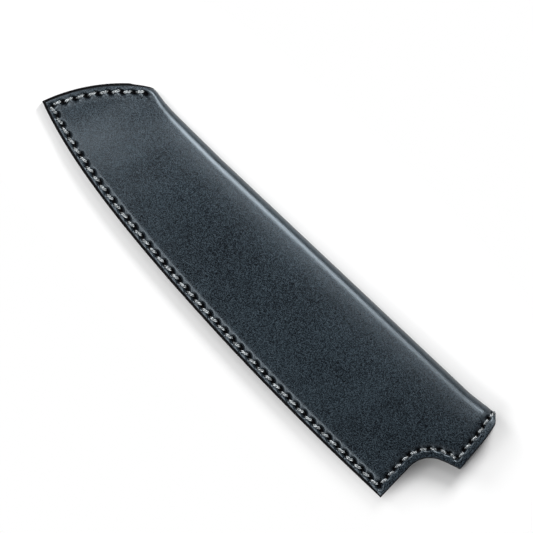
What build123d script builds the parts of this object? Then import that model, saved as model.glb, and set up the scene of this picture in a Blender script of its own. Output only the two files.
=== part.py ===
from build123d import *
import os
from math import cos, hypot, pi, sin, sqrt

os.makedirs("parts", exist_ok=True)

# A slip-on leather guard for a clipped-point kitchen knife, lying on its back panel.
# One blank of leather is folded along the spine of the knife and sewn shut along the cutting
# edge and the nose. The mouth stays open. +X runs from the nose to the mouth, +Y from the
# cutting edge to the folded spine, and +Z up through the front panel. The origin is on the
# back face, under the middle of the length and the width.

# Outline, seen from the front: a nearly straight edge at the heel that sweeps up to the tip,
# and a nose cut to one arc
sheath_length = 210.0
sheath_width = 53.9
edge_straight = 9.0
tip_rise = 21.3
belly_share = 0.738
belly_exponent = 2
sweep_exponent = 8
nose_run = 25.8
nose_radius = 72.0

# Mouth: a heel line, a rounded notch, a step and a line that leans back towards the fold
heel_setback = 14.5
step_rise = 28.3
step_drop = 4.7
notch_radius = 10.5
shoulder_rise = 15.0
shoulder_lean = 0.8
shoulder_radius = 30.0
fold_lean = 1.9
fold_corner = 2.4
corner_radius = 1.5

# Layers
leather_thickness = 1.7
lining_thickness = 0.7
edge_welt_thickness = 2.4
nose_welt_thickness = 0.8
welt_width = 5.0

# Height of the pocket under the fold, along the blade and at the nose
pocket_height = 4.6
nose_pocket_height = 1.2

# Where a seam presses the fold flatter, the fold spreads outwards. The shares are of the
# length from the nose corner to the full fold, of the flare and of the full height.
nose_flare = 2.1
nose_press_length = 38.0
nose_along_shares = (-0.72, -0.12, -0.04, 0.04, 0.12, 0.22, 0.35, 0.6, 1)
nose_flare_shares = (-0.3, -0.3, 0.5, 1, 0.75, 0.45, 0.28, 0.16, 0)
nose_fullness_shares = (0, 0, 0, 0.03, 0.15, 0.38, 0.64, 0.88, 1)
mouth_flare = 1.2
mouth_press_length = 17.0
mouth_along_shares = (1, 0.65, 0.35, -0.1)
mouth_flare_shares = (0, 0.42, 1, 1)

# Closing seam, through every layer. Its two threads are alike.
seam_margin = 2.6
nose_seam_margin = 3.1
closing_pitch = 4.34
thread_diameter = 0.8
channel_width = 2.6
nose_seam_end = 3.4
closing_slant = -30.0

# Mouth seam, through the shell and the lining only, with a thinner thread inside
mouth_margin = 3.5
mouth_pitch = 3.95
inner_thread_diameter = 0.45
mouth_slant = 15.0

# Fits. A crown lies just under the surface in a channel a little deeper than the thread.
surface_clearance = 0.03
bed_clearance = 0.15
slot_clearance = 0.1
leg_clearance = 0.05
cut_overrun = 5.0
bend_share = 1.3
leg_spacing_share = 1.9

# Sizes that follow from those above
panel_thickness = leather_thickness + lining_thickness
edge_height = 2 * panel_thickness + edge_welt_thickness
nose_height = 2 * panel_thickness + nose_welt_thickness
fold_height = 2 * panel_thickness + pocket_height
nose_fold_height = 2 * panel_thickness + nose_pocket_height
half_length = sheath_length / 2
half_width = sheath_width / 2
spine_y = half_width - nose_flare
heel_x = half_length - heel_setback
edge_flat_x = heel_x - edge_straight
channel_depth = thread_diameter + bed_clearance
inner_channel_depth = inner_thread_diameter + bed_clearance / 2
leg_spacing = thread_diameter * leg_spacing_share
inner_leg_spacing = inner_thread_diameter * leg_spacing_share
slot_length = leg_spacing + thread_diameter + 2 * slot_clearance
slot_width = thread_diameter + 2 * slot_clearance
mouth_channel_width = slot_width + leg_spacing / 2
inner_channel_width = inner_thread_diameter + inner_leg_spacing / 2 + 2 * slot_clearance
meeting_depth = (channel_depth + panel_thickness - inner_channel_depth) / 2
through_height = fold_height + cut_overrun
UP = Vector(0, 0, 1)


def edge_point(x, inset):
    """Point of the cutting edge at x, moved square to the edge into the guard by the inset."""
    reach = edge_flat_x + half_length
    along = max(edge_flat_x - x, 0) / reach
    belly = belly_share * along**belly_exponent
    sweep = (1 - belly_share) * along**sweep_exponent
    steepness = belly_exponent * belly + sweep_exponent * sweep
    slope = tip_rise * steepness / (reach * along) if along > 0 else 0
    square = hypot(1, slope)
    y = tip_rise * (belly + sweep) - half_width
    return Vector(x + inset * slope / square, y + inset / square)


def above_edge(inset, right, top):
    """Region above the cutting edge moved in by the inset, up to a right and a top limit."""
    left = -half_length - cut_overrun
    spans = 12
    with BuildSketch() as region:
        with BuildLine():
            places = [left + (right - left) * i / spans for i in range(spans + 1)]
            low = Spline(*[edge_point(x, inset) for x in places])
            Polyline(low @ 1, ((low @ 1).X, top), (left, top), low @ 0)
        make_face()
    return region.sketch


def inside_nose(inset):
    """Region inside the arc of the nose moved in by the inset, open towards the mouth."""
    tip = edge_point(-half_length, 0)
    corner = Vector(nose_run - half_length, half_width)
    chord = corner - tip
    height = sqrt(nose_radius**2 - (chord.length / 2) ** 2)
    centre = (tip + corner) / 2 + Vector(chord.Y, -chord.X).normalized() * height
    radius = nose_radius - inset
    with BuildSketch() as region:
        with Locations((centre.X, centre.Y)):
            Circle(radius)
            Rectangle(sheath_length, radius, align=Align.MIN)
    return region.sketch


def sewn_side(edge_inset, nose_inset, right, top):
    """Region inside both sewn sides, the cutting edge and the nose, each moved in by its inset."""
    with BuildSketch() as region:
        add(above_edge(edge_inset, right, top))
        add(inside_nose(nose_inset), mode=Mode.INTERSECT)
    return region.sketch


def mitred(points, inset):
    """The same corners, with every side between them moved to its left by the inset."""
    sides = [(b - a).normalized() for a, b in zip(points, points[1:])]
    lefts = [Vector(-side.Y, side.X) for side in sides]
    moved = [points[0] + lefts[0] * inset]
    for corner, before, after in zip(points[1:-1], lefts, lefts[1:]):
        moved.append(corner + (before + after) * (inset / (1 + before.dot(after))))
    moved.append(points[-1] + lefts[-1] * inset)
    return moved


def mouth_corners(inset):
    """Heel, notch, step, shoulder and fold end of the mouth, moved into the guard."""
    step_y = step_rise - half_width
    return mitred(
        [
            Vector(heel_x, -half_width),
            Vector(heel_x, step_y - step_drop),
            Vector(half_length, step_y),
            Vector(half_length - shoulder_lean, step_y + shoulder_rise),
            Vector(half_length - fold_lean, spine_y + mouth_flare - fold_corner),
        ],
        inset,
    )


def mouth_side(inset, corner):
    """Region on the body side of the mouth line moved in by the inset.
    The corner is how far the line turns back at the fold."""
    heel, notch, step, shoulder, fold_end = mouth_corners(inset)
    low_end = heel - Vector(0, cut_overrun)
    back = fold_end + Vector(-corner, fold_corner)
    past = back + (back - fold_end).normalized() * cut_overrun
    radii = [notch_radius + inset, 0, shoulder_radius - inset, corner_radius, 0]
    with BuildSketch() as region:
        with BuildLine():
            FilletPolyline(low_end, notch, step, shoulder, fold_end, back, past, radius=radii)
            Polyline(past, (-sheath_length, past.Y), (-sheath_length, low_end.Y), low_end)
        make_face()
    return region.sketch


def stations():
    """Places along the guard: x, spine, height at the fold and height at the edge."""
    places = []
    for along, flare, full in zip(nose_along_shares, nose_flare_shares, nose_fullness_shares):
        x = nose_run - half_length + nose_press_length * along
        fold = nose_fold_height + (fold_height - nose_fold_height) * full
        edge = nose_height + (edge_height - nose_height) * full
        places.append((x, spine_y + nose_flare * flare, fold, edge))
    for along, flare in zip(mouth_along_shares, mouth_flare_shares):
        x = half_length - mouth_press_length * along
        places.append((x, spine_y + mouth_flare * flare, fold_height, edge_height))
    return places


def form(depth):
    """The closed guard as one solid, with every outer face moved in by the depth.
    Each section is a flat back, a half-round fold and a front that falls to the edge."""
    far_y = -half_width - cut_overrun
    with BuildPart() as body:
        for x, spine, fold, edge in stations():
            radius = fold / 2
            shoulder = spine - radius
            edge_y = edge_point(max(x, -half_length), 0).Y
            with BuildSketch(Plane.YZ.offset(x)):
                with BuildLine():
                    Line((far_y, depth), (shoulder, depth))
                    CenterArc((shoulder, radius), radius - depth, -90, 90)
                    CenterArc((shoulder, radius), radius - depth, 0, 90)
                    TangentArc((shoulder, fold - depth), (edge_y, edge - depth), tangent=(-1, 0))
                    Polyline((edge_y, edge - depth), (far_y, edge - depth), (far_y, depth))
                make_face()
        loft(ruled=True)
    return body.part


def section_at(x):
    """Spine, height at the fold and height at the edge at x, between two stations."""
    places = stations()
    for before, after in zip(places, places[1:]):
        if x <= after[0] or after is places[-1]:
            share = (x - before[0]) / (after[0] - before[0])
            return [a + (b - a) * share for a, b in zip(before[1:], after[1:])]


def front_height(x, y):
    """Height of the front panel's outer surface over a point of the plan."""
    spine, fold, edge = section_at(x)
    shoulder = spine - fold / 2
    edge_y = edge_point(max(x, -half_length), 0).Y
    share = min(max((shoulder - y) / (shoulder - edge_y), 0), 1)
    return fold - (fold - edge) * share**2


def spread(curve, pitch):
    """Evenly spaced places along a curve, both ends included, close to the pitch apart."""
    count = max(round(curve.length / pitch), 1)
    return [curve.position_at(i / count) for i in range(count + 1)]


def slots_along(points, slant):
    """A level plane in each hole of a seam, with its X along the slanted slot."""
    ends = [points[0] * 2 - points[1], *points, points[-1] * 2 - points[-2]]
    planes = []
    for before, point, after in zip(ends, ends[1:], ends[2:]):
        along = (point - before).normalized() + (after - point).normalized()
        planes.append(Plane(point, x_dir=along.rotate(Axis.Z, slant), z_dir=UP))
    return planes


def at_height(slot, height, outward):
    """A slot's plane moved to a height and facing outwards, with X still along the slot."""
    return Plane(slot.origin + UP * height, x_dir=slot.x_dir, z_dir=outward)


def reversed_slot(slot):
    """The same slot, met from the other end."""
    return Plane(slot.origin, x_dir=-slot.x_dir, z_dir=slot.z_dir)


def stitches(slots, diameter, spacing, depths):
    """A stitch from each slot to the next: a crown under the surface and a leg at each end."""
    radius = diameter / 2
    crown = radius + surface_clearance
    made = []
    for start, finish, start_depth, finish_depth in zip(slots, slots[1:], depths, depths[1:]):
        first = start.origin + start.x_dir * (spacing / 2)
        second = finish.origin - finish.x_dir * (spacing / 2)
        corners = [
            first - start.z_dir * start_depth,
            first - start.z_dir * crown,
            second - finish.z_dir * crown,
            second - finish.z_dir * finish_depth,
        ]
        with BuildPart() as stitch:
            with BuildLine() as path:
                FilletPolyline(*corners, radius=radius * bend_share)
            with BuildSketch(Plane(path.line @ 0, z_dir=path.line % 0)):
                Circle(radius)
            sweep()
        made.append(stitch.part)
    return made


# The nested forms: the outside, the floor of the stitch channels, the inside of the leather,
# the floor of the lining's channel and the pocket itself
outer_form = form(0)
bed_form = form(channel_depth)
leather_form = form(leather_thickness)
inner_bed_form = form(panel_thickness - inner_channel_depth)
pocket_form = form(panel_thickness)

with BuildSketch() as guard_plan:
    add(sewn_side(0, 0, half_length + cut_overrun, half_width + cut_overrun))
    add(mouth_side(0, fold_corner), mode=Mode.INTERSECT)

# Holes of the closing seam: from the heel along the edge to the tip, then up the nose
heel_hole_x = heel_x - mouth_margin
seam_line = sewn_side(seam_margin, nose_seam_margin, heel_hole_x, half_width - nose_seam_end)
edge_curve = seam_line.edges().filter_by(GeomType.BSPLINE)[0]
nose_curve = seam_line.edges().filter_by(GeomType.CIRCLE)[0]
edge_holes = sorted(spread(edge_curve, closing_pitch), key=lambda hole: -hole.X)
nose_holes = sorted(spread(nose_curve, closing_pitch), key=lambda hole: hole.X)
closing_slots = slots_along(edge_holes + nose_holes[1:], closing_slant)
closing_heights = [front_height(slot.origin.X, slot.origin.Y) for slot in closing_slots]

# Holes of the mouth seam: from beside the heel hole round the notch to the step, then on to
# the fold, where they stand square to its surface
_, notch_in, step_in, shoulder_in, fold_in = mouth_corners(mouth_margin)
mouth_spine, mouth_fold, _ = section_at(fold_in.X)
fold_radius = mouth_fold / 2
fold_axis_y = mouth_spine - fold_radius
heel_in = edge_holes[0] + Vector(0, slot_width)
with BuildLine() as low_line:
    FilletPolyline(heel_in, notch_in, step_in, radius=[notch_radius + mouth_margin])
with BuildLine() as high_line:
    Polyline(step_in, shoulder_in, (fold_in.X, fold_axis_y))
over_fold = 2 * high_line.wire().length + pi * fold_radius
high_count = round(over_fold / mouth_pitch)
low_holes = spread(low_line.wire(), mouth_pitch)
flat_holes = []
fold_angles = []
for i in range(1, high_count):
    travelled = over_fold * i / high_count
    turned = (travelled - high_line.wire().length) / fold_radius
    if turned < 0:
        flat_holes.append(high_line.wire().position_at(travelled / high_line.wire().length))
    elif turned <= pi:
        fold_angles.append(turned)
panel_slots = slots_along(low_holes + flat_holes, mouth_slant)


def fold_slot(angle, reach, outward):
    """The plane of a slot on the fold at a reach from its axis, turned from straight up."""
    square = Vector(0, sin(angle), cos(angle))
    along = Vector(0, cos(angle), -sin(angle))
    origin = Vector(fold_in.X, fold_axis_y, fold_radius) + square * reach
    return Plane(origin, x_dir=along, z_dir=square * outward)


def closing_band(width):
    """Band of a width along the closing seam, round its first and last holes."""
    right = heel_hole_x + width / 2
    top = half_width - nose_seam_end + width / 2
    with BuildSketch() as band:
        add(sewn_side(seam_margin - width / 2, nose_seam_margin - width / 2, right, top))
        inner = sewn_side(seam_margin + width / 2, nose_seam_margin + width / 2, right, top)
        add(inner, mode=Mode.SUBTRACT)
    return band.sketch


def mouth_band(width, low_y):
    """Band of a width along the mouth seam, from a low end upwards."""
    with BuildSketch() as band:
        add(mouth_side(mouth_margin - width / 2, 0))
        add(mouth_side(mouth_margin + width / 2, 0), mode=Mode.SUBTRACT)
        with Locations((0, low_y)):
            above = (Align.CENTER, Align.MIN)
            Rectangle(2 * sheath_length, 2 * sheath_width, align=above, mode=Mode.INTERSECT)
    return band.sketch


# Cutting tools: the channels on the outside, the channel in the lining and the slots
with BuildPart() as outer_channels:
    add(outer_form)
    add(bed_form, mode=Mode.SUBTRACT)
    with BuildSketch(Plane.XY.offset(-cut_overrun)):
        add(closing_band(channel_width))
        add(mouth_band(mouth_channel_width, heel_in.Y))
    extrude(amount=through_height + cut_overrun, mode=Mode.INTERSECT)

with BuildPart() as inner_channel:
    add(inner_bed_form)
    add(pocket_form, mode=Mode.SUBTRACT)
    with BuildSketch(Plane.XY.offset(-cut_overrun)):
        add(mouth_band(inner_channel_width, (low_holes[0].Y + low_holes[1].Y) / 2))
    extrude(amount=through_height + cut_overrun, mode=Mode.INTERSECT)


def slot_tools(slots):
    """Upright cutters, one for each slot of a seam."""
    with BuildPart() as cutters:
        with BuildSketch(Plane.XY.offset(-cut_overrun)):
            for slot in slots:
                angle = slot.x_dir.get_signed_angle(Vector(1, 0, 0), -UP)
                with Locations(Location((slot.origin.X, slot.origin.Y), angle)):
                    SlotOverall(slot_length, slot_width)
        extrude(amount=through_height + cut_overrun)
    return cutters.part


closing_tools = slot_tools(closing_slots)
panel_tools = slot_tools(panel_slots)
with BuildPart() as fold_tools:
    for angle in fold_angles:
        with BuildSketch(fold_slot(angle, 0, 1)):
            SlotOverall(slot_length, slot_width)
        extrude(amount=fold_radius + cut_overrun)

# Outer shell: one leather blank, folded at the spine, with its channels and slots
with BuildPart() as outer_shell:
    add(outer_form)
    add(leather_form, mode=Mode.SUBTRACT)
    with BuildSketch(Plane.XY.offset(-cut_overrun)):
        add(guard_plan.sketch)
    extrude(amount=through_height + cut_overrun, mode=Mode.INTERSECT)
    add([outer_channels.part, closing_tools, panel_tools, fold_tools.part], mode=Mode.SUBTRACT)
outer_shell.part.label = "outer_shell"
export_step(outer_shell.part, "parts/outer_shell.step")

# Lining: thin leather folded inside the shell, cut flush with it
with BuildPart() as lining:
    add(leather_form)
    add(pocket_form, mode=Mode.SUBTRACT)
    with BuildSketch(Plane.XY.offset(-cut_overrun)):
        add(guard_plan.sketch)
    extrude(amount=through_height + cut_overrun, mode=Mode.INTERSECT)
    add([inner_channel.part, closing_tools, panel_tools, fold_tools.part], mode=Mode.SUBTRACT)
lining.part.label = "lining"
export_step(lining.part, "parts/lining.step")

# Edge welt: a strip between the linings along the cutting edge, which the blade runs against
with BuildPart() as edge_welt:
    add(pocket_form)
    with BuildSketch(Plane.XY.offset(-cut_overrun)):
        add(guard_plan.sketch)
        add(above_edge(welt_width, sheath_length, sheath_width), mode=Mode.SUBTRACT)
    extrude(amount=through_height + cut_overrun, mode=Mode.INTERSECT)
    add(closing_tools, mode=Mode.SUBTRACT)
edge_welt.part.label = "edge_welt"
export_step(edge_welt.part, "parts/edge_welt.step")

# Nose welt: a thinner strip along the nose, butted against the edge welt at the tip
with BuildPart() as nose_welt:
    add(pocket_form)
    with BuildSketch(Plane.XY.offset(-cut_overrun)):
        add(guard_plan.sketch)
        add(inside_nose(welt_width), mode=Mode.SUBTRACT)
        add(above_edge(welt_width, sheath_length, sheath_width), mode=Mode.INTERSECT)
    extrude(amount=through_height + cut_overrun, mode=Mode.INTERSECT)
    add(closing_tools, mode=Mode.SUBTRACT)
nose_welt.part.label = "nose_welt"
export_step(nose_welt.part, "parts/nose_welt.step")

# Closing threads: one on the front, one on the back, locked in the middle of every hole
closing_depths = [height / 2 - leg_clearance / 2 for height in closing_heights]
with BuildPart() as closing_thread_front:
    fronts = [at_height(slot, height, UP) for slot, height in zip(closing_slots, closing_heights)]
    add(stitches(fronts, thread_diameter, leg_spacing, closing_depths))
closing_thread_front.part.label = "closing_thread_front"
export_step(closing_thread_front.part, "parts/closing_thread_front.step")

with BuildPart() as closing_thread_back:
    backs = [at_height(slot, 0, -UP) for slot in closing_slots]
    add(stitches(backs, thread_diameter, leg_spacing, closing_depths))
closing_thread_back.part.label = "closing_thread_back"
export_step(closing_thread_back.part, "parts/closing_thread_back.step")

# Mouth threads: up the front panel, over the fold and down the back panel, one outside and
# one inside, locked in the middle of the shell and lining
mouth_heights = [front_height(slot.origin.X, slot.origin.Y) for slot in panel_slots]
with BuildPart() as mouth_thread_outer:
    outer_slots = [at_height(slot, height, UP) for slot, height in zip(panel_slots, mouth_heights)]
    outer_slots += [fold_slot(angle, fold_radius, 1) for angle in fold_angles]
    outer_slots += [at_height(reversed_slot(slot), 0, -UP) for slot in reversed(panel_slots)]
    outer_depths = [meeting_depth - leg_clearance / 2] * len(outer_slots)
    add(stitches(outer_slots, thread_diameter, leg_spacing, outer_depths))
mouth_thread_outer.part.label = "mouth_thread_outer"
export_step(mouth_thread_outer.part, "parts/mouth_thread_outer.step")

with BuildPart() as mouth_thread_inner:
    inner_reach = fold_radius - panel_thickness
    lined = list(zip(panel_slots, mouth_heights))[1:]
    inner_slots = [at_height(slot, height - panel_thickness, -UP) for slot, height in lined]
    inner_slots += [fold_slot(angle, inner_reach, -1) for angle in fold_angles]
    inner_slots += [at_height(reversed_slot(slot), panel_thickness, UP) for slot, _ in reversed(lined)]
    inner_depths = [panel_thickness - meeting_depth - leg_clearance / 2] * len(inner_slots)
    add(stitches(inner_slots, inner_thread_diameter, inner_leg_spacing, inner_depths))
mouth_thread_inner.part.label = "mouth_thread_inner"
export_step(mouth_thread_inner.part, "parts/mouth_thread_inner.step")
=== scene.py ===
import bpy
import numpy as np
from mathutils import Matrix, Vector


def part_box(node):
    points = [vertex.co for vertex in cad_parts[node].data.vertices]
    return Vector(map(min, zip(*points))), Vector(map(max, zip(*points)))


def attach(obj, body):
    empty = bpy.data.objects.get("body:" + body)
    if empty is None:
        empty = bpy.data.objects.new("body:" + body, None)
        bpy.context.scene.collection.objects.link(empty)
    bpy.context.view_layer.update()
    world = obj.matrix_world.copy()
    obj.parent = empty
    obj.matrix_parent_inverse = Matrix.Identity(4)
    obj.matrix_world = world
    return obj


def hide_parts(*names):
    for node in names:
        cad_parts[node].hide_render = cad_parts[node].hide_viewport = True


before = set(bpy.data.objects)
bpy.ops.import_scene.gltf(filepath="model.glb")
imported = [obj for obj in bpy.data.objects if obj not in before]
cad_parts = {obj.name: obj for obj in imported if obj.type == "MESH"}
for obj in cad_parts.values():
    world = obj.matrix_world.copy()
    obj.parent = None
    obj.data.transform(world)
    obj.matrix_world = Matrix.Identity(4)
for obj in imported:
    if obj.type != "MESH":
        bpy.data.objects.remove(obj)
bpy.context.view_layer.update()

# Outer shell: one blank of black leather, folded along the spine of the knife. Its cut edges are
# painted and rubbed round, and a pressed groove with slanted pricked holes carries the stitches.
# It is worked out flat, as x along the guard and a girth from the fold, then folded.
mm = 0.001
half_length, half_width, fold_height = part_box("outer_shell")[1]
leather_thickness = 1.7 * mm
panel_thickness = 2.4 * mm
heel_x = half_length - 14.5 * mm
past_tip_x = -half_length - 4 * mm


def blurred(at, places, values, reach):
    """Straight runs from place to place, averaged over a raised cosine window of that reach."""
    window = np.linspace(-1, 1, 11)
    weights = 1 + np.cos(np.pi * window)
    runs = np.interp(at[..., None] + window * reach, places, values)
    return (runs * weights).sum(-1) / weights.sum()


def edge_line(x, inset):
    """Cutting edge: a parabola and an eighth-power sweep up to the tip, moved square to itself."""
    straight_x = heel_x - 9.0 * mm
    reach = straight_x + half_length
    along = np.maximum(straight_x - x, 0) / reach
    rise = 21.3 * mm
    belly_share = 0.738
    y = rise * (belly_share * along**2 + (1 - belly_share) * along**8) - half_width
    slope = rise * (2 * belly_share * along + 8 * (1 - belly_share) * along**7) / reach
    square = np.hypot(1, slope)
    return x + inset * slope / square, y + inset / square


nose_run, nose_press_length, nose_flare = 25.8 * mm, 38.0 * mm, 2.1 * mm
nose_along_shares = np.array([-0.72, -0.12, -0.04, 0.04, 0.12, 0.22, 0.35, 0.6, 1])
nose_flare_shares = np.array([-0.3, 0.1, 0.82, 1.08, 0.78, 0.45, 0.28, 0.16, 0])
nose_fullness_shares = np.array([0, 0, 0, 0.03, 0.15, 0.38, 0.64, 0.88, 1])
mouth_press_length, mouth_flare = 17.0 * mm, 1.2 * mm
mouth_along_shares = np.array([1, 0.65, 0.35, -0.1])
mouth_flare_shares = np.array([0, 0.42, 1, 1])
edge_height, nose_height, nose_fold_height = 7.2 * mm, 5.6 * mm, 6.0 * mm
fullness_blur, flare_blur = 5.0 * mm, 1.6 * mm
spine_y = half_width - nose_flare


def section(x):
    """Spine y, fold radius, and drop of the front panel to the edge, for each x: blurred runs
    between places near the nose, where the guard is pressed flat, and near the mouth."""
    nose_x = nose_run - half_length
    nose_places = nose_x + nose_press_length * nose_along_shares
    mouth_places = half_length - mouth_press_length * mouth_along_shares
    places = np.concatenate([nose_places, mouth_places])
    flares = np.concatenate([nose_flare * nose_flare_shares, mouth_flare * mouth_flare_shares])
    fullness = np.concatenate([nose_fullness_shares, np.ones(len(mouth_places))])
    full = blurred(x, places, fullness, fullness_blur)
    height = nose_fold_height + (fold_height - nose_fold_height) * full
    edge = nose_height + (edge_height - nose_height) * full
    return spine_y + blurred(x, places, flares, flare_blur), height / 2, height - edge


def girth(x, y):
    """Distance round the fold from its outermost line to a point of the plan, on the front: an
    arc of the fold's radius, and past it a straight run."""
    spine, radius, _ = section(x)
    past = y - (spine - radius)
    return radius * np.arccos(np.clip(past / radius, 0, 1)) - np.minimum(past, 0)


section_drop = fold_height - edge_height
front_pillow, fullness_skew = 0.5 * mm, 16.0 * mm
shoulder_rise, shoulder_reach = 0.25 * mm, 3.5 * mm


def folded(x, q, depth):
    """Point of the folded leather. A girth q over 0 is the front and under 0 the back: a half
    circle at the fold, then a flat back, or a front that falls by the square of the distance and
    stands a little proud of that, by a sine and by a shoulder that levels off past the fold. The
    front keeps its fullness nearer to the nose the further it is from the fold."""
    spine, radius, _ = section(x)
    angle = np.clip(q / radius, -np.pi / 2, np.pi / 2)
    beyond = np.maximum(np.abs(q) - radius * np.pi / 2, 0)
    y = spine - radius + (radius - depth) * np.cos(angle) - beyond
    panel_width = spine - radius - edge_line(x, 0)[1]
    share = np.clip(beyond / panel_width, 0, 1)
    _, fuller_radius, drop = section(x + fullness_skew * share)
    shoulder = shoulder_rise * (1 - np.exp(-beyond / shoulder_reach)) * (1 - share)
    pillow = front_pillow * drop / section_drop * np.sin(np.pi * share) + shoulder
    lift = 2 * (fuller_radius - radius) - drop * share**2 + pillow
    z = radius + (radius - depth) * np.sin(angle) + np.where(q > 0, lift, 0)
    return np.stack([x, y, z], -1)


def left_of(points):
    """Unit normals to the left of each run of a line."""
    runs = np.diff(points, axis=0)
    return np.stack([-runs[:, 1], runs[:, 0]], -1) / np.linalg.norm(runs, axis=1)[:, None]


def rounded_line(points, radius, inset):
    """Two runs with a round corner between them, moved to the left: the corner keeps its centre
    and its radius grows or shrinks by the inset. Both ends keep square to their runs."""
    before, after = left_of(points)
    turn = np.sign(before[0] * after[1] - before[1] * after[0])
    centre = points[1] + (before + after) * turn * radius / (1 + before @ after)
    share = np.linspace(0, 1, 40)[:, None]
    normals = before * (1 - share) + after * share
    normals /= np.linalg.norm(normals, axis=1)[:, None]
    arc = centre - normals * turn * (radius - turn * inset)
    return np.concatenate([[points[0] + before * inset], arc, [points[2] + after * inset]])


def mitre(before, corner, after, inset):
    """Corner of two runs when both are moved to the left by the inset."""
    first, second = left_of(np.array([before, corner, after]))
    return corner + (first + second) * inset / (1 + first @ second)


def placed_along(x, q, shares):
    """Places at shares of the length of a line drawn on the flat blank."""
    length = np.concatenate([[0], np.cumsum(np.hypot(np.diff(x), np.diff(q)))])
    at = shares * length[-1]
    return np.stack([np.interp(at, length, x), np.interp(at, length, q)], -1)


nose_radius = 72.0 * mm
tip = np.array([-half_length, edge_line(np.array(-half_length), 0)[1]])
nose_corner = np.array([nose_run - half_length, half_width])
nose_chord = nose_corner - tip
nose_square = np.array([nose_chord[1], -nose_chord[0]]) / np.linalg.norm(nose_chord)
nose_depth = np.sqrt(nose_radius**2 - nose_chord @ nose_chord / 4)
nose_centre = (tip + nose_corner) / 2 + nose_square * nose_depth


def nose_line(inset, edge_inset):
    """Nose, from the fold to the tip: the arc about its centre, from where it meets the spine
    to where it meets the cutting edge, both found by straight runs between close places."""
    out = tip - nose_centre
    tip_angle = np.arctan2(out[1], out[0]) % (2 * np.pi)
    round_to_tip = np.linspace(-0.8, 0.12, 1600)
    angle = tip_angle + round_to_tip
    x, y = nose_centre[:, None] + (nose_radius - inset) * np.stack([np.cos(angle), np.sin(angle)])
    spine = section(x)[0]
    edge_x, edge_y = edge_line(np.linspace(past_tip_x, 0, 500), edge_inset)
    inside = (y < spine) & (y > np.interp(x, edge_x, edge_y))
    first, last = np.flatnonzero(inside)[[0, -1]]
    reach = np.arange(first - 1, last + 2)
    share = np.interp(0, (y - spine)[reach[:2]][::-1], [1, 0])
    x_first = x[reach[0]] + (x[reach[1]] - x[reach[0]]) * share
    over = (y - np.interp(x, edge_x, edge_y))[reach[-2:]]
    x_last = x[reach[-2]] + (x[reach[-1]] - x[reach[-2]]) * over[0] / (over[0] - over[1])
    fine = np.linspace(0, 1, 700) ** 2
    xs = x_first + (x_last - x_first) * fine
    order = np.argsort(x)
    ys = np.interp(xs, x[order], y[order])
    return xs, ys


step_y = 28.3 * mm - half_width
notch_radius, shoulder_radius, fold_corner = 10.5 * mm, 30.0 * mm, 2.4 * mm
mouth_points = np.array([
    (heel_x, -half_width),
    (heel_x, step_y - 4.7 * mm),
    (half_length, step_y),
    (half_length - 0.8 * mm, step_y + 15.0 * mm),
    (half_length - 1.9 * mm, spine_y + mouth_flare - fold_corner),
])
corner_lead, corner_blend, corner_reach = 0.3 * mm, 0.7 * mm, 3.4 * mm
side_columns = {"nose": 200, "edge": 600, "notch": 80, "mouth": 120}
half_columns = sum(side_columns.values())


def denser_first(share):
    """Shares from 0 to 1 that start closer together: 0.4 of the share and 0.6 of its square."""
    return share * (0.4 + 0.6 * share)


def blank_row(inset, fewer=1):
    """Line on the flat blank at an inset from the cut edge: nose, cutting edge, notch and mouth
    of the front, from fold to fold. Each side is spaced between its mitred corners, closer
    together near the fold. The mouth's corner at the fold is cut off along a hyperbola."""
    counts = {side: count // fewer for side, count in side_columns.items()}
    from_fold = np.linspace(0, 1, counts["nose"] + 1)
    x, y = nose_line(inset, inset)
    nose = placed_along(x, girth(x, y), denser_first(from_fold))
    nose[0, 1] = 0
    edge_x, edge_y = edge_line(np.linspace(past_tip_x, half_length, 4000), inset)
    kept = (edge_x > x[-1]) & (edge_x < heel_x - inset)
    heel_y = np.interp(heel_x - inset, edge_x, edge_y)
    ex = np.concatenate([[x[-1]], edge_x[kept], [heel_x - inset]])
    ey = np.concatenate([[y[-1]], edge_y[kept], [heel_y]])
    edge = placed_along(ex, girth(ex, ey), np.linspace(0, 1, counts["edge"] + 1))
    low = rounded_line(mouth_points[:3], notch_radius, inset)
    low[0] = heel_x - inset, heel_y
    low[-1] = mitre(*mouth_points[1:4], inset)
    notch = placed_along(low[:, 0], girth(*low.T), np.linspace(0, 1, counts["notch"] + 1))
    high = rounded_line(mouth_points[2:], shoulder_radius, inset)
    high[0] = low[-1]
    y_fold = section(np.array(half_length))[0]
    ys = high[0, 1] + (y_fold - high[0, 1]) * np.sin(np.linspace(0, np.pi / 2, 500))
    lean = high[-1] - high[-2]
    past = high[-1] + lean * (y_fold + mm - high[-1, 1]) / lean[1]
    line = np.concatenate([high, [past]])
    xs = np.interp(ys, line[:, 1], line[:, 0])
    over = ys - mouth_points[-1, 1] + corner_lead
    chamfer = (over + np.hypot(over, corner_blend)) / 2
    xs -= chamfer * np.clip(1 - inset / corner_reach, 0, 1) ** 2
    to_fold = np.linspace(1, 0, counts["mouth"] + 1)
    mouth = placed_along(xs, girth(xs, ys), 1 - denser_first(to_fold))
    mouth[-1, 1] = 0
    return np.concatenate([nose[:-1], edge[:-1], notch[:-1], mouth])


def whole_ring(row):
    """The front's line and then the back's, which is its mirror image in the fold."""
    back = row[-2:0:-1] * (1, -1)
    return np.concatenate([row, back])


seam_margin, nose_seam_margin, mouth_margin = 2.6 * mm, 3.1 * mm, 3.5 * mm
closing_pitch, mouth_pitch = 4.34 * mm, 3.95 * mm
nose_seam_end, notch_seam_lead = 3.4 * mm, 1.0 * mm


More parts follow.
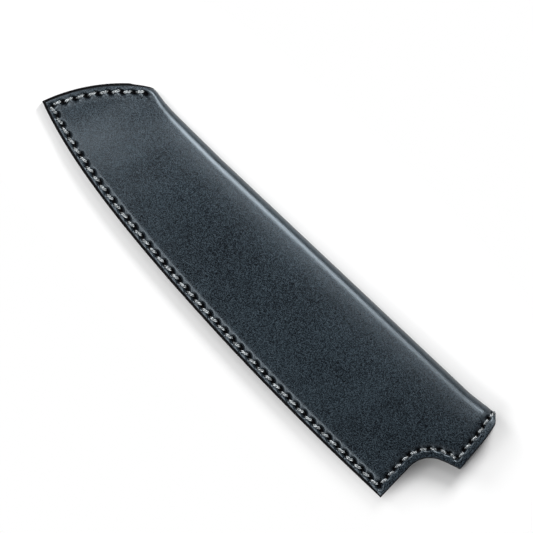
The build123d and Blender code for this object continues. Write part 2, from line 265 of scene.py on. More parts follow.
def seam_holes(x, y, pitch):
    """Holes of a seam: places on a line of the plan, evenly spaced and close to the pitch."""
    length = np.hypot(np.diff(x), np.diff(y)).sum()
    count = round(length / pitch)
    at = placed_along(x, y, np.linspace(0, 1, count + 1))
    return np.stack([at[:, 0], girth(at[:, 0], at[:, 1])], -1)


seam_nose_x, seam_nose_y = nose_line(nose_seam_margin, seam_margin)
sewn = seam_nose_y < half_width - nose_seam_end
seam_nose_x, seam_nose_y = seam_nose_x[sewn][::-1], seam_nose_y[sewn][::-1]
heel_hole_x = heel_x - mouth_margin
seam_edge_x, seam_edge_y = edge_line(np.linspace(heel_hole_x, -half_length, 4000), seam_margin)
sewn = seam_edge_x > seam_nose_x[0]
closing_holes = np.concatenate([
    seam_holes(seam_edge_x[sewn], seam_edge_y[sewn], closing_pitch),
    seam_holes(seam_nose_x, seam_nose_y, closing_pitch)[1:],
])
notch_seam = rounded_line(mouth_points[:3], notch_radius, mouth_margin)
notch_seam[0] = heel_hole_x, seam_edge_y[0] + notch_seam_lead
notch_seam[-1] = mitre(*mouth_points[1:4], mouth_margin)
notch_holes = seam_holes(*notch_seam.T, mouth_pitch)
mouth_seam = rounded_line(mouth_points[2:], shoulder_radius, mouth_margin)
mouth_seam[0] = notch_seam[-1]
mouth_seam[:, 1] = girth(*mouth_seam.T)
mouth_seam = np.concatenate([mouth_seam, mouth_seam[::-1] * (1, -1)])
fold_length = np.hypot(*np.diff(mouth_seam, axis=0).T).sum()
fold_count = round(fold_length / mouth_pitch)
fold_holes = placed_along(*mouth_seam.T, np.linspace(0, 1, fold_count + 1))
mouth_holes = np.concatenate([notch_holes[:-1], fold_holes, notch_holes[-2::-1] * (1, -1)])


def slot_directions(holes, slant):
    """Unit direction of each slot on the blank: the seam's direction turned by the slant, one
    way on the front and the other way on the back, and not turned on the fold."""
    along = np.gradient(holes, axis=0)
    along /= np.linalg.norm(along, axis=1)[:, None]
    on_panel = np.abs(holes[:, 1]) > section(holes[:, 0])[1] * np.pi / 2
    angle = slant * np.sign(holes[:, 1]) * on_panel
    across = np.stack([-along[:, 1], along[:, 0]], -1)
    return along * np.cos(angle)[:, None] + across * np.sin(angle)[:, None]


closing_slant, mouth_slant = np.radians(30), np.radians(-15)
closing_slots = slot_directions(closing_holes, closing_slant)
mouth_slots = slot_directions(mouth_holes, mouth_slant)


def inward_of(holes, way):
    """Unit directions into the panel, square to a seam: to the left of it, or to the right."""
    along = np.gradient(holes, axis=0)
    return way * np.stack([-along[:, 1], along[:, 0]], -1) / np.linalg.norm(along, axis=1)[:, None]


closing_shift, mouth_shift = 0.25 * mm, 0.2 * mm
closing_pits = closing_holes + inward_of(closing_holes, 1) * closing_shift
mouth_pits = mouth_holes + inward_of(mouth_holes, -1) * mouth_shift


def pricked(at, holes, slots, half_slot, half_slit):
    """How deep each place lies in the nearest hole, from 0 to 1: a bell, flat on top, as it falls
    by the 1.6th power of the square of the distance. It is long along the slot."""
    offset = at[:, None, :] - holes[None]
    along = (offset * slots).sum(-1) / half_slot
    across = (offset[..., 0] * slots[:, 1] - offset[..., 1] * slots[:, 0]) / half_slit
    return np.exp(-((along**2 + across**2) ** 1.6)).max(1)


def zip_rows(start, next_start, count):
    """Three triangles for each pair of a row's places that becomes one place of the next row."""
    near = start + np.arange(0, count, 2)
    mid = near + 1
    far = start + (np.arange(0, count, 2) + 2) % count
    left = next_start + np.arange(count // 2)
    right = next_start + (np.arange(count // 2) + 1) % (count // 2)
    return np.concatenate([
        np.stack([mid, near, left], -1),
        np.stack([right, mid, left], -1),
        np.stack([far, mid, right], -1),
    ])


def ring_quads(start, next_start, count):
    """Quads between two closed rows of as many places."""
    here = np.arange(count)
    after = (here + 1) % count
    return np.stack([start + here, next_start + here, next_start + after, start + after], -1)


def blank_middle(border):
    """The middle of the blank, inside a closed line of whole columns: its four sides are blended
    into a net, and the net keeps them as they are. Returns the net's places, row by row."""
    coarse = {side: count // 4 for side, count in side_columns.items()}
    nose, edge = coarse["nose"], coarse["edge"]
    rows = 2 * nose
    half = nose + edge + nose
    left = np.concatenate([border[nose::-1], border[:-nose - 1:-1]])
    low = border[nose:nose + edge + 1]
    right = border[nose + edge:nose + edge + rows + 1]
    top = border[half + nose:half + nose + edge + 1][::-1]
    u = np.linspace(0, 1, edge + 1)[None, :, None]
    v = np.linspace(0, 1, rows + 1)[:, None, None]
    sides = (1 - u) * left[:, None] + u * right[:, None] + (1 - v) * low[None] + v * top[None]
    corners = (1 - u) * (1 - v) * low[0] + u * (1 - v) * low[-1]
    corners = corners + (1 - u) * v * top[0] + u * v * top[-1]
    return sides - corners


def middle_faces(start, border_start):
    """Quads of the middle's net, whose outer places are those of the closed line round it."""
    nose, edge = side_columns["nose"] // 4, side_columns["edge"] // 4
    rows, half = 2 * nose, 2 * nose + edge
    ids = start + np.arange((rows + 1) * (edge + 1)).reshape(rows + 1, edge + 1)
    around = 2 * half
    ids[:, 0] = border_start + (nose - np.arange(rows + 1)) % around
    ids[0] = border_start + nose + np.arange(edge + 1)
    ids[:, -1] = border_start + nose + edge + np.arange(rows + 1)
    ids[-1] = border_start + (half + nose + edge - np.arange(edge + 1)) % around
    quads = np.stack([ids[:-1, :-1], ids[:-1, 1:], ids[1:, 1:], ids[1:, :-1]], -1)
    return quads.reshape(-1, 4)


def new_piece(name, points, quads, triangles=None, attributes=None, painted=None):
    """A smooth mesh object from arrays of points and faces, with its own attributes. Faces whose
    places are all painted take its second material."""
    mesh = bpy.data.meshes.new(name)
    triangles = np.empty((0, 3), int) if triangles is None else triangles
    corners = np.concatenate([quads.ravel(), triangles.ravel()]).astype(np.int32)
    sizes = np.concatenate([np.full(len(quads), 4), np.full(len(triangles), 3)])
    mesh.vertices.add(len(points))
    mesh.vertices.foreach_set("co", points.astype(np.float32).ravel())
    mesh.loops.add(len(corners))
    mesh.loops.foreach_set("vertex_index", corners)
    mesh.polygons.add(len(sizes))
    starts = np.concatenate([[0], np.cumsum(sizes)[:-1]]).astype(np.int32)
    mesh.polygons.foreach_set("loop_start", starts)
    mesh.polygons.foreach_set("use_smooth", np.ones(len(sizes), bool))
    if painted is not None:
        second = np.minimum.reduceat(painted[corners].astype(np.int32), starts)
        mesh.polygons.foreach_set("material_index", second)
    for label, values in (attributes or {}).items():
        layer = mesh.attributes.new(label, "FLOAT", "POINT")
        layer.data.foreach_set("value", values.astype(np.float32))
    mesh.update(calc_edges=True)
    mesh.validate()
    piece = bpy.data.objects.new(name, mesh)
    bpy.context.scene.collection.objects.link(piece)
    return piece


def ring_columns(ring):
    """Column of each place of a ring, counted from the fold at the nose, the same on the front
    and the back, and the ring's columns for each column of the finest rows."""
    around = np.arange(len(ring))
    column = np.minimum(around, len(ring) - around).astype(float)
    return column, len(ring) / 2 / half_columns


margin_blend = 6
groove_depth, groove_half_width, groove_shift = 0.22 * mm, 1.05 * mm, 0.9 * mm
groove_wall_share = 0.3
groove_lead, groove_start, past_fold = 1.0 * mm, 0.25 * mm, 3 * mm
hole_depth, pull_depth = 1.35 * mm, 0.12 * mm
closing_hole_size, mouth_hole_size = (1.55 * mm, 0.9 * mm), (1.3 * mm, 0.8 * mm)
pulled_size = (1.9 * mm, 1.45 * mm)


def outer_relief(inset, ring):
    """Depth of the groove and holes under the smooth surface of the leather. The groove is a
    flat-bottomed trough along the seams, with logistic walls, drawn a little deeper round each
    hole of the closing seam, and every hole is pressed deeper still."""
    column, scale = ring_columns(ring)
    ends = np.cumsum([0] + list(side_columns.values())) * scale
    soft = margin_blend * scale
    centre = blurred(
        column,
        [0, ends[1] - soft, ends[1] + soft, ends[2] - soft, ends[2] + soft, ends[4]],
        [nose_seam_margin, nose_seam_margin, seam_margin, seam_margin, mouth_margin, mouth_margin],
        soft,
    )
    first_girth = closing_holes[-1, 1] - groove_lead
    starts = 1 / (1 + np.exp((first_girth - np.abs(ring[:, 1])) / groove_start))
    sewn_part = np.where(column < ends[1], starts, 1)
    across = (inset - centre - groove_shift) / groove_half_width
    groove = sewn_part / (1 + np.exp((np.abs(across) - 1) / groove_wall_share))
    place = np.stack([ring[:, 0], np.abs(ring[:, 1])], -1)
    front_mouth = mouth_holes[:, 1] > -past_fold
    closing = pricked(place, closing_pits, closing_slots, *closing_hole_size)
    pull = pricked(place, closing_pits, closing_slots, *pulled_size)
    at_mouth = pricked(place, mouth_pits[front_mouth], mouth_slots[front_mouth], *mouth_hole_size)
    holes = np.maximum(closing, at_mouth)
    return groove * (groove_depth + pull_depth * pull) + hole_depth * holes, holes, groove


edge_fall, edge_fall_reach = 0.6 * mm, 3.0 * mm
shut_blend = 8


def sewn_shut(ring):
    """1 at the places of a ring along the closing seam and 0 along the open mouth."""
    column, scale = ring_columns(ring)
    heel = (side_columns["nose"] + side_columns["edge"]) * scale
    places = [0, heel - shut_blend, heel + shut_blend, half_columns * scale]
    return blurred(column, places, [1, 1, 0, 0], shut_blend)


def worn_edge(inset, ring):
    """How far the outer surface falls to the cut edge where the two panels are pressed together:
    by the square of the distance, all along the closing seam and not at the mouth."""
    return edge_fall * sewn_shut(ring) * np.clip(1 - inset / edge_fall_reach, 0, 1) ** 2


stretch_reach, stretch_blend = 0.5 * mm, 0.7 * mm


def bent(at):
    """How much the leather is stretched over the fold, from 1 to 0 a few millimetres past it: a
    logistic fall over the girth."""
    past = np.abs(at[:, 1]) - section(at[:, 0])[1] * np.pi / 2
    return 1 / (1 + np.exp((past - stretch_reach) / stretch_blend))


net_inset, thinned_inset, inner_thinned_inset = 6.9 * mm, 6.1 * mm, 3.0 * mm
inner_rounding = 0.15 * mm
edge_paint_reach, hole_shade_depth = 1.03, 0.42
mouth_narrowing, middle_unpainted = 1.3, 9.0


def leather_blank(name, outer_depth, inner_depth, rounding, fine_rows, relief=None):
    """A folded blank between two depths, closed round its cut edge: rows of whole rings from the
    outer middle, round the cut edge, to the inner middle, where rows thin out by half twice. The
    paint reaches less far from the cut edge at the mouth than along the closing seam."""
    turns = np.linspace(0, np.pi / 2, 5)[1:]
    rows = [(net_inset, outer_depth, 4), (thinned_inset, outer_depth, 2)]
    rows += [(inset, outer_depth, 1) for inset in fine_rows]
    rows += [
        (rounding * (1 - np.sin(turn)), outer_depth + rounding * (1 - np.cos(turn)), 1)
        for turn in turns
    ]
    rows += [(0, inner_depth - inner_rounding, 1), (inner_rounding, inner_depth, 1)]
    rows += [(inner_thinned_inset, inner_depth, 2), (net_inset, inner_depth, 4)]
    points, quads, triangles = [], [], []
    facts = {"inset": [], "bend": [], "hole": [], "groove": []}
    start, before = 0, None
    for inset, depth, fewer in rows:
        ring = whole_ring(blank_row(inset, fewer))
        pressed, holes, groove = np.zeros((3, len(ring)))
        if depth == outer_depth and relief:
            pressed, holes, groove = relief(inset, ring)
        if inset < edge_fall_reach and depth < inner_depth - rounding and relief:
            pressed = pressed + worn_edge(inset, ring)
        points.append(folded(ring[:, 0], ring[:, 1], depth + pressed))
        unpainted = inset / mm * (1 + mouth_narrowing * (1 - sewn_shut(ring)))
        for fact, value in zip(facts, (unpainted, bent(ring), holes, groove)):
            facts[fact].append(np.broadcast_to(value, len(ring)))
        if before:
            last_start, last_count = before
            if last_count == len(ring):
                quads.append(ring_quads(last_start, start, last_count))
            elif last_count > len(ring):
                triangles.append(zip_rows(last_start, start, last_count))
            else:
                triangles.append(zip_rows(start, last_start, len(ring))[:, ::-1])
        before = (start, len(ring))
        start += len(ring)
    border = whole_ring(blank_row(net_inset, 4))
    net = blank_middle(border).reshape(-1, 2)
    for depth, border_start, turn in ((outer_depth, 0, 1), (inner_depth, before[0], -1)):
        points.append(folded(net[:, 0], net[:, 1], depth))
        for fact, value in zip(facts, (middle_unpainted, bent(net), 0.0, 0.0)):
            facts[fact].append(np.broadcast_to(value, len(net)))
        quads.append(middle_faces(start, border_start)[:, ::turn])
        start += len(net)
    facts = {fact: np.concatenate(values) for fact, values in facts.items()}
    faces = np.concatenate(quads), np.concatenate(triangles)
    # Faces at the cut edge take the real edge paint; faces deep in the holes take the same black
    # as painted shade.
    painted = (facts["inset"] < edge_paint_reach) | (facts["hole"] > hole_shade_depth)
    return new_piece(name, np.concatenate(points), *faces, facts, painted)


def node_tree(name):
    """A new material's tree, with its shader."""
    material = bpy.data.materials.new(name)
    material.use_nodes = True
    return material, material.node_tree, material.node_tree.nodes["Principled BSDF"]


def added(tree, kind, inputs=None, **settings):
    """A new node with its settings and inputs. An input is a value or another node's output."""
    node = tree.nodes.new(kind)
    for setting, value in settings.items():
        setattr(node, setting, value)
    for key, value in (inputs or {}).items():
        if isinstance(value, bpy.types.NodeSocket):
            tree.links.new(value, node.inputs[key])
        else:
            node.inputs[key].default_value = value
    return node


def ramp(tree, value, low, high, low_out=0.0, high_out=1.0):
    """A value carried from one range to another, smoothly, and held at its ends."""
    inputs = {0: value, 1: low, 2: high, 3: low_out, 4: high_out}
    node = added(tree, "ShaderNodeMapRange", inputs, interpolation_type="SMOOTHSTEP")
    return node.outputs[0]


def maths(tree, operation, first, second=0.0):
    """One sum of two values."""
    return added(tree, "ShaderNodeMath", {0: first, 1: second}, operation=operation).outputs[0]


def blend(tree, share, first, second):
    """A colour between two others, each a tone or another node's output."""
    inputs = {"Factor": share, 6: first, 7: second}
    return added(tree, "ShaderNodeMix", inputs, data_type="RGBA").outputs[2]


def noise(tree, at, scale, detail, **more):
    """Noise at each place: so many waves in a metre, with finer ones by the detail."""
    inputs = {"Vector": at, "Scale": scale, "Detail": detail, **more}
    return added(tree, "ShaderNodeTexNoise", inputs).outputs["Fac"]


def tilt_normal(tree, shader, height, strength, distance):
    """Relief in a shader: a height from 0 to 1, a strength and the distance for a height of 1."""
    inputs = {"Height": height, "Strength": strength, "Distance": distance}
    relief = added(tree, "ShaderNodeBump", inputs)
    tree.links.new(relief.outputs[0], shader.inputs["Normal"])


def leather_grain():
    """Leather's own surface, the same on every leather piece: pebbles of fine grain that each
    took the dye differently, a slow mottle of the dye and long faint creases."""
    group = bpy.data.node_groups.new("leather grain", "ShaderNodeTree")
    for name, kind, way in (
        ("Grain size", "NodeSocketFloat", "INPUT"),
        ("Relief", "NodeSocketFloat", "OUTPUT"),
        ("Pebbles", "NodeSocketFloat", "OUTPUT"),
        ("Mottle", "NodeSocketFloat", "OUTPUT"),
        ("Creases", "NodeSocketFloat", "OUTPUT"),
    ):
        group.interface.new_socket(name=name, in_out=way, socket_type=kind)
    entry = group.nodes.new("NodeGroupInput")
    leaving = group.nodes.new("NodeGroupOutput")
    at = added(group, "ShaderNodeTexCoord").outputs["Object"]
    size = maths(group, "DIVIDE", 1.0, entry.outputs["Grain size"])
    cells = added(
        group, "ShaderNodeTexVoronoi", {"Vector": at, "Scale": size, "Randomness": 0.95},
        feature="DISTANCE_TO_EDGE",
    ).outputs["Distance"]
    pebbles = added(
        group, "ShaderNodeTexVoronoi", {"Vector": at, "Scale": size, "Randomness": 0.95}
    ).outputs["Color"]
    pits = noise(group, at, size, 1.5, Roughness=0.6)
    pebbled = ramp(group, cells, 0.0, 0.22, 0.0, 0.4)
    pitted = ramp(group, pits, 0.38, 0.62, 0.0, 0.6)
    relief = maths(group, "ADD", pebbled, pitted)
    slow = noise(group, at, 55.0, 4.0, Roughness=0.6)
    long_way = added(
        group, "ShaderNodeMapping", {"Vector": at, "Rotation": (0, 0, -0.5), "Scale": (22, 95, 60)}
    ).outputs[0]
    wavy = noise(group, long_way, 1.0, 2.0, Distortion=0.6)
    crease = maths(group, "ABSOLUTE", maths(group, "SUBTRACT", wavy, 0.5))
    lines = ramp(group, crease, 0.0, 0.035, 1.0, 0.0)
    group.links.new(relief, leaving.inputs["Relief"])
    group.links.new(pebbles, leaving.inputs["Pebbles"])
    group.links.new(slow, leaving.inputs["Mottle"])
    group.links.new(lines, leaving.inputs["Creases"])
    return group


grain = leather_grain()


def leather_material(name, dark, light, roughness, grain_size, bump):
    """Dyed leather: pebbles and mottle run between two tones, and the grain gives relief, less
    where the leather is stretched over the fold. Cut edges take black edge ink, and holes and
    grooves are darkened as painted shade."""
    material, tree, shader = node_tree(name)
    surface = added(tree, "ShaderNodeGroup", node_tree=grain)
    surface.inputs["Grain size"].default_value = grain_size
    mottle = ramp(tree, surface.outputs["Mottle"], 0.3, 0.7, -0.1, 0.1)
    speckle = ramp(tree, surface.outputs["Pebbles"], 0.3, 0.85)
    toned = maths(tree, "ADD", mottle, speckle)
    tone = blend(tree, toned, (*dark, 1), (*light, 1))
    facts = {
        fact: added(tree, "ShaderNodeAttribute", attribute_name=fact).outputs["Fac"]
        for fact in ("inset", "bend", "hole", "groove")
    }
    rim = ramp(tree, facts["inset"], 1.0, 1.25, 1.0, 0.0)
    # Holes and grooves: the darker base colour here is painted shade in the recesses, while the
    # rim is real edge ink.
    pressed = maths(
        tree, "MAXIMUM", maths(tree, "MULTIPLY", facts["hole"], 0.9),
        maths(tree, "MULTIPLY", facts["groove"], 0.5),
    )
    ink_and_painted_shade = maths(tree, "MAXIMUM", rim, pressed)
    edge_ink_and_shade_tone = (0.004, 0.004, 0.005, 1)
    tree.links.new(blend(tree, ink_and_painted_shade, tone, edge_ink_and_shade_tone), shader.inputs["Base Color"])
    grained = ramp(tree, facts["bend"], 0.0, 1.0, 1.0, 0.6)
    matt = maths(tree, "MULTIPLY", speckle, maths(tree, "MULTIPLY", grained, 0.2))
    rubbed = ramp(tree, facts["bend"], 0.0, 1.0, roughness - 0.08, roughness + 0.08)
    worn = maths(tree, "ADD", matt, rubbed)
    gloss = maths(tree, "ADD", worn, maths(tree, "MULTIPLY", ink_and_painted_shade, 0.3))
    tree.links.new(gloss, shader.inputs["Roughness"])
    creased = maths(tree, "MULTIPLY", surface.outputs["Creases"], -0.25)
    height = maths(tree, "ADD", surface.outputs["Relief"], creased)
    strength = maths(tree, "MULTIPLY", grained, bump)
    tilt_normal(tree, shader, height, strength, 0.1 * mm)
    shader.inputs["Specular IOR Level"].default_value = 0.7
    shader.inputs["Specular Tint"].default_value = (0.78, 0.9, 1, 1)
    return material


def painted_edge(name, tone, ridge_size):
    """Edge paint on the cut edges, and painted shade on the faces deep in the awl holes: black,
    matt, with fine brushed ridges.
    """
    material, tree, shader = node_tree(name)
    at = added(tree, "ShaderNodeTexCoord").outputs["Object"]
    brushed = noise(tree, at, 1 / ridge_size, 3.0)
    darker = (*(0.4 * value for value in tone), 1)
    tree.links.new(blend(tree, brushed, darker, (*tone, 1)), shader.inputs["Base Color"])
    tree.links.new(ramp(tree, brushed, 0.3, 0.7, 0.45, 0.65), shader.inputs["Roughness"])
    tilt_normal(tree, shader, brushed, 0.3, 0.1 * mm)
    shader.inputs["Specular IOR Level"].default_value = 0.06
    return material


shell = leather_blank(
    "shell", outer_depth=0, inner_depth=leather_thickness, rounding=0.5 * mm,
    fine_rows=np.append(np.linspace(5.4, 0.75, 18), 0.5) * mm, relief=outer_relief,
)
shell.data.materials.append(leather_material(
    "shell_leather", dark=(0.0, 0.0, 0.001), light=(0.031, 0.046, 0.058),
    roughness=0.2, grain_size=0.19 * mm, bump=0.15,
))
edge_paint_and_hole_shade = painted_edge("edge_paint_and_hole_shade", (0.002, 0.002, 0.003), 0.7 * mm)
shell.data.materials.append(edge_paint_and_hole_shade)
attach(shell, "root")
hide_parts("outer_shell")

# Lining: thin matt leather folded inside the shell and cut flush with it. It shows as the inner
# layer of every cut edge and as the inside of the mouth, where its own seam holds it.
lining = leather_blank(
    "lining_skin", outer_depth=leather_thickness, inner_depth=panel_thickness,
    rounding=0.15 * mm, fine_rows=np.array([3.0, 0.6]) * mm,
)
lining.data.materials.append(leather_material(
    "lining_leather", dark=(0.018, 0.018, 0.018), light=(0.03, 0.029, 0.028),
    roughness=0.62, grain_size=0.4 * mm, bump=0.6,
))
lining.data.materials.append(edge_paint_and_hole_shade)
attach(lining, "root")
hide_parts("lining")

# Welts: strips of leather between the two linings, one along the cutting edge and a thinner one
# along the nose. The blade runs against them, and their outer side is painted with the cut edge.
welt_width = 5.0 * mm
welt_insets = np.array([0.3, 0.1, 0.05, 0.1, 0.3, 1.5, 3.5, 4.8, 5.0, 5.0, 4.8, 3.5, 1.5]) * mm
welt_height_shares = np.array([0.02, 0.14, 0.5, 0.86, 0.98, 1, 1, 1, 0.88, 0.12, 0, 0, 0])
nose_gap, heel_gap, fold_gap_share = 0.05 * mm, 0.1 * mm, 0.03


def welt_strip(name, lines):
    """A strip between the linings: each row runs at its own inset from the cut edge and at its
    own share of the height between them. The rows close round it, with a cap at each end."""
    rows = []
    for (x, y), height in zip(lines, welt_height_shares):
        q = girth(x, y)
        back, front = folded(x, -q, panel_thickness), folded(x, q, panel_thickness)
        rows.append(back + (front - back) * height)
    rows = np.array(rows)
    across, along = rows.shape[:2]
    ids = np.arange(across * along).reshape(across, along)
    after = np.roll(ids, -1, axis=0)
    quads = np.stack([ids[:, :-1], ids[:, 1:], after[:, 1:], after[:, :-1]], -1).reshape(-1, 4)
    rim = np.arange(across)
    near = np.stack([rim[1:-1] * 0, rim[1:-1], rim[2:]], -1) * along
    far = near[:, ::-1] + along - 1
    inset = np.repeat(welt_insets / mm, along)
    facts = {"inset": inset, "bend": inset * 0, "hole": inset * 0, "groove": inset * 0}
    return new_piece(name, rows.reshape(-1, 3), quads, np.concatenate([near, far]), facts)


def edge_welt_line(inset):
    """One line of the edge welt, from the cut nose to the heel."""
    edge_x, edge_y = edge_line(np.linspace(past_tip_x, half_length, 4000), inset)
    x = np.linspace(nose_line(nose_gap, inset)[0][-1], heel_x - heel_gap, 500)
    return x, np.interp(x, edge_x, edge_y)


def nose_welt_line(inset):
    """One line of the nose welt, from just short of the fold to the edge welt."""
    x, y = nose_line(inset, welt_width)
    at = placed_along(x, y, np.linspace(fold_gap_share, 1, 90))
    return at[:, 0], at[:, 1]


welt_leather = leather_material(
    "welt_leather", dark=(0.012, 0.012, 0.013), light=(0.02, 0.02, 0.021),
    roughness=0.55, grain_size=0.4 * mm, bump=0.5,
)
for name, node, line in (
    ("edge_welt_strip", "edge_welt", edge_welt_line),
    ("nose_welt_strip", "nose_welt", nose_welt_line),
):
    welt = welt_strip(name, [line(inset) for inset in welt_insets])
    welt.data.materials.append(welt_leather)
    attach(welt, "root")
    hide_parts(node)

# Threads: dark waxed thread of three twisted plies, sewn by hand with two needles. Each stitch
# comes out of one slanted hole, lies in the groove and dives into the next. The two threads of a
# seam pass each other in every hole.
ply_radius, ply_offset, ply_turn = 0.19 * mm, 0.29 * mm, 4.2 * mm
stitch_samples, ply_sides = 30, 7
sunk_share, sunk_blend_share = 0.47, 0.15


def stitch_plies(holes, slots, slot_length, crown, leg, thickness):
    """Plies of every stitch of a seam. A stitch's line eases from hole to hole by a sine, and its
    depth grows by the 2.5th power of the distance from its middle. The plies are helices round
    that line, in the frame of its direction and the leather's normal."""
    first = holes[:-1] + slots[:-1] * slot_length / 2
    second = holes[1:] - slots[1:] * slot_length / 2
    u = np.linspace(-1, 1, stitch_samples)
    share = (0.5 + 0.5 * np.sin(np.pi / 2 * u))[None, :, None]
    at = first[:, None] * (1 - share) + second[:, None] * share
    depth = crown(at[..., 1]) + leg * np.abs(u) ** 2.5
    middle = folded(at[..., 0], at[..., 1], depth)
    outwards = folded(at[..., 0], at[..., 1], depth - 0.1 * mm) - middle
    fold_girth = section(at[..., 0])[1] * np.pi / 2
    panel_front = (at[..., 1] > fold_girth)[..., None]
    outwards = np.where(panel_front, np.array([0, 0, 1.0]), outwards)
    panel_back = (at[..., 1] < -fold_girth)[..., None]
    outwards = np.where(panel_back, np.array([0, 0, -1.0]), outwards)
    ahead = np.gradient(middle, axis=1)
    length = np.cumsum(np.linalg.norm(ahead, axis=2), axis=1)
    ahead /= np.linalg.norm(ahead, axis=2)[..., None]
    aside = np.cross(ahead, outwards)
    middle_aside = aside[:, stitch_samples // 2][:, None]
    aside = middle_aside - (middle_aside * ahead).sum(-1)[..., None] * ahead
    aside /= np.linalg.norm(aside, axis=2)[..., None]
    up = np.cross(aside, ahead)
    points = []
    for ply in range(3):
        turn = (2 * np.pi * (length / (ply_turn * thickness) + ply / 3))[..., None]
        centre = middle + (aside * np.cos(turn) + up * np.sin(turn)) * ply_offset * thickness
        for side in range(ply_sides):
            face = 2 * np.pi * side / ply_sides
            out = aside * np.cos(face) + up * np.sin(face)
            points.append(centre + out * ply_radius * thickness)
    grid = np.array(points).reshape(3, ply_sides, len(first), stitch_samples, 3)
    return grid.transpose(0, 2, 3, 1, 4)


def sewn_thread(name, node, holes, slots, slot_length, crown, leg, thickness=1.0):
    """The visible stitches of one thread, as closed ply tubes, with painted shade where they go
    into a hole.
    """
    grid = stitch_plies(holes, slots, slot_length, crown, leg, thickness)
    ids = np.arange(grid[..., 0].size).reshape(grid.shape[:-1])
    after = np.roll(ids, -1, axis=3)
    here, there = ids[:, :, :-1], ids[:, :, 1:]
    quads = np.stack([here, there, after[:, :, 1:], after[:, :, :-1]], -1).reshape(-1, 4)
    caps = []
    for step in range(1, ply_sides - 1):
        caps.append(ids[:, :, 0][..., [0, step, step + 1]].reshape(-1, 3))
        caps.append(ids[:, :, -1][..., [0, step + 1, step]].reshape(-1, 3))
    # How far each sample is into its hole: the thread's colour darkens there as painted shade.
    reach = np.abs(np.linspace(-1, 1, stitch_samples))
    sunk = np.clip((reach - sunk_share) / sunk_blend_share, 0, 1)[:, None]
    facts = {"sunk": np.broadcast_to(sunk, grid.shape[:-1]).ravel()}
    piece = new_piece(name, grid.reshape(-1, 3), quads, np.concatenate(caps), facts)
    piece.data.materials.append(waxed_thread)
    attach(piece, "root")
    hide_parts(node)


waxed_thread, tree, shader = node_tree("waxed_thread")
at = added(tree, "ShaderNodeTexCoord").outputs["Object"]
fibres = noise(tree, at, 5200.0, 2.0, Roughness=0.6)
# Fine noise runs the thread's colour between a dark tone and painted glints, and also sets its
# roughness.
wax_and_glint_pattern = noise(tree, at, 1400.0, 2.0)
bare_thread, painted_glint, painted_hole_shade = (
    (0.08, 0.09, 0.095, 1), (0.5, 0.54, 0.56, 1), (0.005, 0.005, 0.006, 1)
)
tone = blend(tree, ramp(tree, wax_and_glint_pattern, 0.4, 0.6), bare_thread, painted_glint)
# Painted shade: the thread's colour goes to near black where it dives into a hole.
sunk = added(tree, "ShaderNodeAttribute", attribute_name="sunk").outputs["Fac"]
tree.links.new(blend(tree, sunk, tone, painted_hole_shade), shader.inputs["Base Color"])
tree.links.new(ramp(tree, wax_and_glint_pattern, 0.3, 0.7, 0.14, 0.28), shader.inputs["Roughness"])
shader.inputs["Specular IOR Level"].default_value = 1.0
tilt_normal(tree, shader, fibres, 0.4, 0.05 * mm)


front_crown_depth, back_sink = 0.12 * mm, 0.41 * mm


def crown_depth(q):
    """Depth of a thread's middle: a little proud on the front, and sunk on the back it rests on,
    growing evenly round the back half of the fold."""
    return front_crown_depth + back_sink * np.clip(-q / (fold_height * np.pi / 4), 0, 1)


def lining_crown_depth(q):
    """Depth of the inner thread's middle: half sunk in the lining's surface."""
    return panel_thickness + 0 * q


slot_length, inner_slot_length = 1.52 * mm, 0.86 * mm
sewn_thread(
    "closing_front_stitches", "closing_thread_front", closing_holes, closing_slots,
    slot_length, crown_depth, leg=1.4 * mm, thickness=1.1,
)
sewn_thread(
    "closing_back_stitches", "closing_thread_back", closing_holes * (1, -1),
    closing_slots * (1, -1), slot_length, crown_depth, leg=1.2 * mm,
)
sewn_thread(
    "mouth_outer_stitches", "mouth_thread_outer", mouth_holes, mouth_slots,
    slot_length, crown_depth, leg=1.3 * mm,
)
sewn_thread(
    "mouth_inner_stitches", "mouth_thread_inner", mouth_holes[1:-1], mouth_slots[1:-1],
    inner_slot_length, lining_crown_depth, leg=-0.9 * mm, thickness=0.56,
)

# Stage: a plain white table and five soft lamps: two beyond the nose, one overhead, one beside
# the fold and one beside the cutting edge. The table takes the guard's shadow in an oval round it
# and shines white further off, as seen from the camera or in a reflection.
floor_size = 6.0
oval_centre_y, oval_stretch = 12 * mm, 3
oval_reach, oval_end = 0.11, 0.18
stage = new_piece(
    "table",
    np.array([(-1, -1, 0), (1, -1, 0), (1, 1, 0), (-1, 1, 0)]) * floor_size,
    np.array([[0, 1, 2, 3]]),
)
white, tree, shader = node_tree("white_table")
tree.nodes.remove(shader)
path = added(tree, "ShaderNodeLightPath")
seen = maths(
    tree, "MAXIMUM", path.outputs["Is Camera Ray"],
    maths(tree, "MAXIMUM", path.outputs["Is Glossy Ray"], path.outputs["Is Transmission Ray"]),
)
lit = added(tree, "ShaderNodeBsdfDiffuse", {"Color": (0.8, 0.8, 0.8, 1)}).outputs[0]
shaded = added(tree, "ShaderNodeBsdfDiffuse", {"Color": (0.82, 0.82, 0.82, 1)}).outputs[0]
glow = added(tree, "ShaderNodeEmission", {"Color": (1, 1, 1, 1), "Strength": 1.0}).outputs[0]
at = added(tree, "ShaderNodeTexCoord").outputs["Object"]
to_oval = {"Location": (0, -oval_centre_y * oval_stretch, 0), "Scale": (1, oval_stretch, 1)}
oval = added(tree, "ShaderNodeMapping", {"Vector": at, **to_oval}).outputs[0]
reach = added(tree, "ShaderNodeVectorMath", {0: oval}, operation="LENGTH").outputs["Value"]
outside = ramp(tree, reach, oval_reach, oval_end)
both = added(tree, "ShaderNodeMixShader", {0: outside, 1: shaded, 2: glow}).outputs[0]
mixed = added(tree, "ShaderNodeMixShader", {0: seen, 1: lit, 2: both}).outputs[0]
tree.links.new(mixed, tree.nodes["Material Output"].inputs["Surface"])
stage.data.materials.append(white)

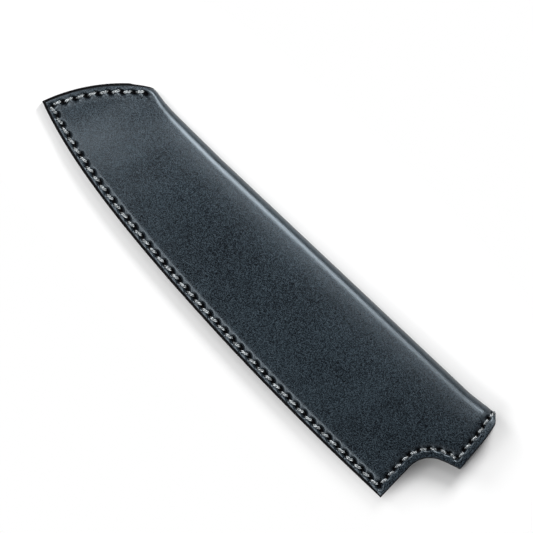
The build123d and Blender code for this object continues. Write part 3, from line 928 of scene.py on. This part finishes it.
world = bpy.data.worlds.new("studio")
bpy.context.scene.world = world
world.use_nodes = True
sky = world.node_tree.nodes["Background"]
sky.inputs["Color"].default_value = (0.95, 0.97, 1.0, 1)
sky.inputs["Strength"].default_value = 0.05


def soft_lamp(name, place, aim, width, height, watts):
    """A rectangular lamp at a place, turned to face a point. Its width lies square to the
    guard's width, or along the guard for a lamp that stands beside it."""
    lamp = bpy.data.objects.new(name, bpy.data.lights.new(name, "AREA"))
    lamp.data.shape = "RECTANGLE"
    lamp.data.size, lamp.data.size_y, lamp.data.energy = width, height, watts
    bpy.context.scene.collection.objects.link(lamp)
    back = np.array(place) - np.array(aim)
    back = back / np.linalg.norm(back)
    across = np.cross((0, 1, 0), back) if abs(back[1]) < 0.5 else np.array((1, 0, 0))
    across = across / np.linalg.norm(across)
    up = np.cross(back, across)
    turn = np.eye(4)
    turn[:3, 0], turn[:3, 1], turn[:3, 2], turn[:3, 3] = across, up, back, place
    lamp.matrix_world = turn.T


near_middle = (-0.03, 0, 0)
soft_lamp("nose lamp", (-0.36, -0.1, 0.58), near_middle, 0.34, 0.34, watts=0.9)
soft_lamp("side lamp", (-0.62, -0.05, 0.42), near_middle, 0.3, 0.4, watts=2.4)
soft_lamp("top lamp", (-0.06, 0.28, 0.8), near_middle, 0.3, 0.16, watts=0.9)
soft_lamp("fold lamp", (-0.08, 0.47, 0.42), (-0.04, 0, 0), 0.24, 0.34, watts=4.1)
soft_lamp("front lamp", (-0.05, -0.52, 0.52), near_middle, 0.6, 0.3, watts=2.7)

# Camera: straight above, far off with a long lens, turned so that the nose points up and left.
# The lens is the sensor's width times the distance over the width seen at the panel's level.
view_width, view_turn, panel_level = 201.1 * mm, np.radians(43.28), 5 * mm
camera_height = 3.0
camera = bpy.data.objects.new("camera", bpy.data.cameras.new("camera"))
bpy.context.scene.collection.objects.link(camera)
camera.location = (-0.56 * mm, 7.01 * mm, camera_height)
camera.rotation_euler = (0, 0, view_turn)
camera.data.sensor_width = 36.0
camera.data.lens = camera.data.sensor_width * (camera_height - panel_level) / view_width
camera.data.clip_end = 20
bpy.context.scene.camera = camera

bpy.context.scene.view_settings.view_transform = "Standard"
